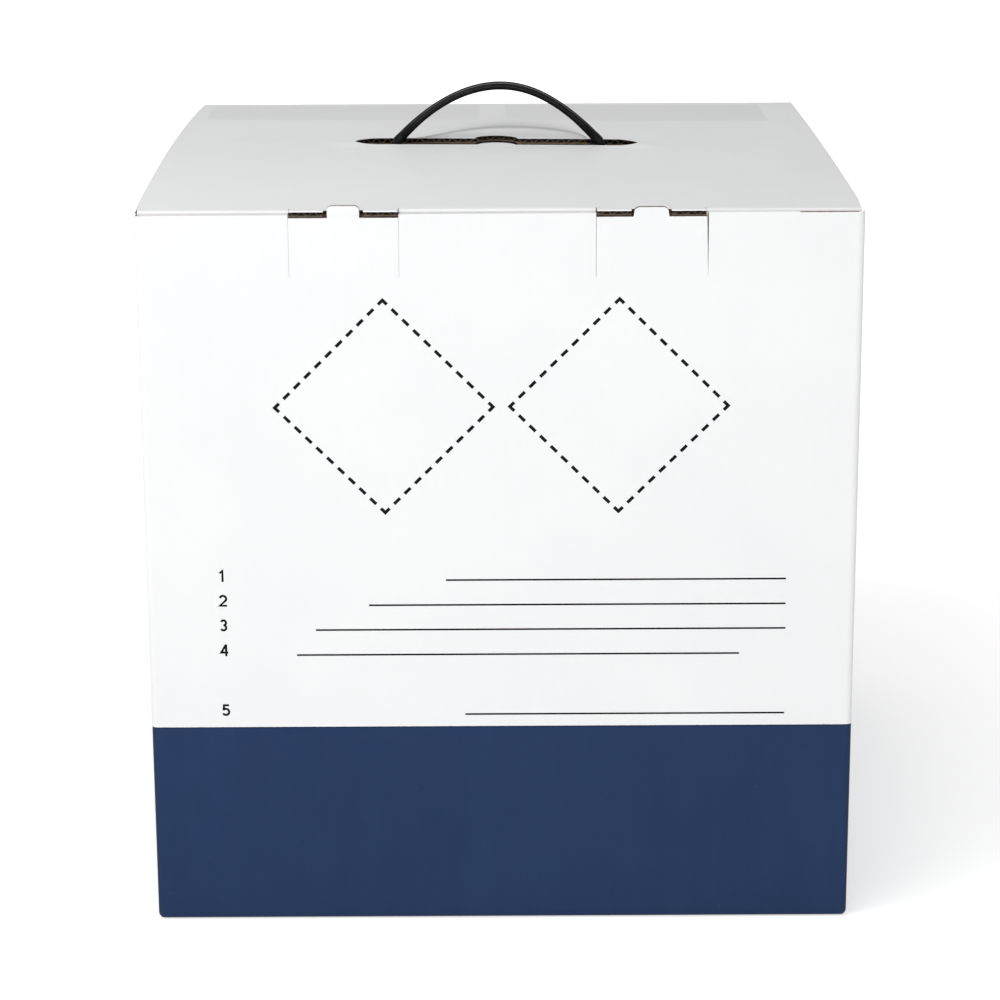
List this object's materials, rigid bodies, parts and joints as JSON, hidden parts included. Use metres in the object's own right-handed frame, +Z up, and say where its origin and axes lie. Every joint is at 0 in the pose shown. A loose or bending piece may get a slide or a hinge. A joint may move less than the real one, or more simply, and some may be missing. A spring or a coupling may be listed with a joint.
{
  "type": "specimen transport box",
  "caption": "Insulated carton for clinical specimens: tuck-in lid with lock tabs and a strap handle, foam box and lid, and a screw-top jar with tubes in a rack.",
  "frame": {"origin": "centre of the carton's underside, on the surface it stands on", "axes": "+Z up, the front wall with the lock tabs faces -Y, +X to the right seen from the front"},
  "size_m": [0.456, 0.478, 0.521],
  "materials": {
    "carton_white": "matte",
    "board_kraft": "matte",
    "print_navy": "matte",
    "handle_black": "satin",
    "foam_white": "matte",
    "pouch_film": "gloss",
    "jar_natural": "satin",
    "jar_lid_red": "satin",
    "seal_rubber": "matte",
    "absorbent_white": "matte",
    "rack_grey": "matte",
    "tube_clear": "gloss",
    "cap_yellow": "satin"
  },
  "bodies": {
    "carton": {"front_wall": "carton_white", "rear_wall": "carton_white", "left_wall": "carton_white", "right_wall": "carton_white", "glue_flap": "board_kraft", "bottom_front_flap": "print_navy", "bottom_rear_flap": "print_navy", "bottom_left_flap": "board_kraft", "bottom_right_flap": "board_kraft", "foam_box": "foam_white", "base_pad": "board_kraft", "jar_bridge": "board_kraft"},
    "lid": {"lid_panel": "carton_white"},
    "tuck": {"tuck_flap": "carton_white"},
    "dust_left": {"dust_flap_left": "carton_white"},
    "dust_right": {"dust_flap_right": "carton_white"},
    "tab_left": {"lock_tab_left": "carton_white"},
    "tab_right": {"lock_tab_right": "carton_white"},
    "handle": {"carry_handle": "handle_black"},
    "inner_lid": {"foam_lid": "foam_white", "document_pouch": "pouch_film"},
    "jar": {"specimen_jar": "jar_natural", "absorbent_sleeve": "absorbent_white", "tube_rack": "rack_grey", "sample_tubes": "tube_clear", "tube_caps": "cap_yellow"},
    "seal": {"jar_seal": "seal_rubber"},
    "jar_cap": {"jar_lid": "jar_lid_red"}
  },
  "joints": [
    {"name": "lid_hinge", "type": "hinge", "parent": "carton", "child": "lid", "pos_m": [0, 0.237, 0.472], "axis": [-1, 0, 0], "range_deg": [0, 180]},
    {"name": "tuck_fold", "type": "hinge", "parent": "lid", "child": "tuck", "pos_m": [0, -0.231, 0.472], "axis": [-1, 0, 0], "range_deg": [0, 60]},
    {"name": "dust_fold_left", "type": "hinge", "parent": "carton", "child": "dust_left", "pos_m": [-0.226, 0, 0.4675], "axis": [0, -1, 0], "range_deg": [0, 90]},
    {"name": "dust_fold_right", "type": "hinge", "parent": "carton", "child": "dust_right", "pos_m": [0.226, 0, 0.4675], "axis": [0, 1, 0], "range_deg": [0, 90]},
    {"name": "tab_fold_left", "type": "hinge", "parent": "carton", "child": "tab_left", "pos_m": [-0.0975, -0.237, 0.4345], "axis": [1, 0, 0], "range_deg": [0, 60]},
    {"name": "tab_fold_right", "type": "hinge", "parent": "carton", "child": "tab_right", "pos_m": [0.0945, -0.237, 0.4345], "axis": [1, 0, 0], "range_deg": [0, 60]},
    {"name": "handle_swing", "type": "hinge", "parent": "lid", "child": "handle", "pos_m": [0, 0.006, 0.4695], "axis": [1, 0, 0], "range_deg": [-17, 17], "stiffness_Nm_per_rad": 0.02},
    {"name": "foam_lid_tilt", "type": "hinge", "parent": "carton", "child": "inner_lid", "pos_m": [0, 0.17449, 0.464], "axis": [-1, 0, 0], "range_deg": [0, 99]},
    {"name": "jar_lift", "type": "slide", "parent": "carton", "child": "jar", "axis": [0, 0, 1], "range_m": [0, 0.08]},
    {"name": "jar_lid_rise", "type": "slide", "parent": "jar", "child": "seal", "axis": [0, 0, 1], "range_m": [0, 0.012]},
    {"name": "jar_lid_turn", "type": "hinge", "parent": "seal", "child": "jar_cap", "pos_m": [0, 0.00369, 0.28], "axis": [0, 0, 1], "range_deg": [0, 360]}
  ],
  "couplings": [
    {"joint": "tuck_fold", "follows": "lid_hinge", "ratio": 0.33333},
    {"joint": "dust_fold_left", "follows": "lid_hinge", "ratio": 0.5},
    {"joint": "dust_fold_right", "follows": "lid_hinge", "ratio": 0.5},
    {"joint": "foam_lid_tilt", "follows": "lid_hinge", "ratio": 0.55},
    {"joint": "jar_lid_rise", "follows": "jar_lid_turn", "m_per_rad": 0.0019099}
  ]
}
